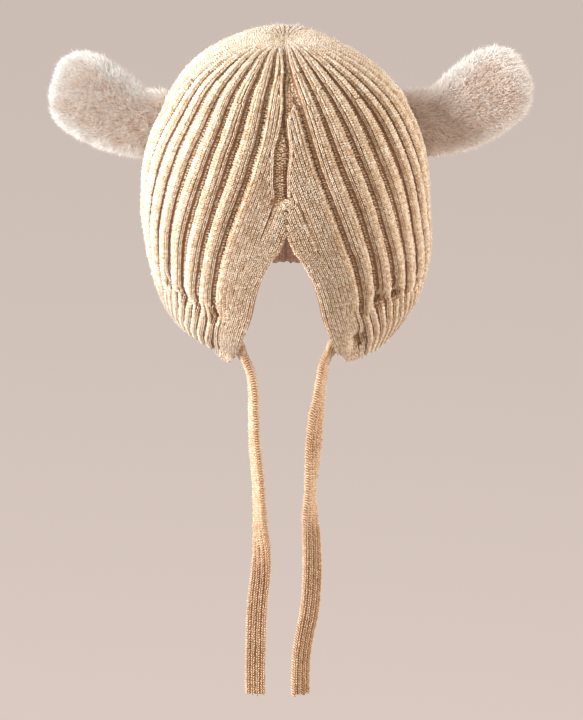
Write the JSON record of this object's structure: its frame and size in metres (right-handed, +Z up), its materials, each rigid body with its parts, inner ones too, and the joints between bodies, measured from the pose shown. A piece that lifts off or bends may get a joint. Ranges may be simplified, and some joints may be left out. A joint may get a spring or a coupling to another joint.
{
  "type": "baby hat with ears",
  "caption": "Rib-knit baby bonnet with a split front, two stuffed plush ears at the sides and two flat knitted ties hanging from the front corners.",
  "frame": {"origin": "the inner top of the crown, where a head carries the bonnet", "axes": "+Z up, the face looks along -Y, the left ear in the picture lies towards -X"},
  "size_m": [0.2437, 0.1593, 0.3373],
  "materials": {
    "rib_knit": "matt beige wool knitted in wide ribs, a little hairy",
    "ear_plush": "short dense plush, beige-pink at the roots and cream at the tips",
    "tie_knit": "matt beige wool knitted flat in narrow stocking stitch"
  },
  "bodies": {
    "root": {"knit_cap": "rib_knit", "ear_left": "ear_plush", "ear_right": "ear_plush", "tie_left": "tie_knit", "tie_right": "tie_knit"}
  },
  "joints": []
}
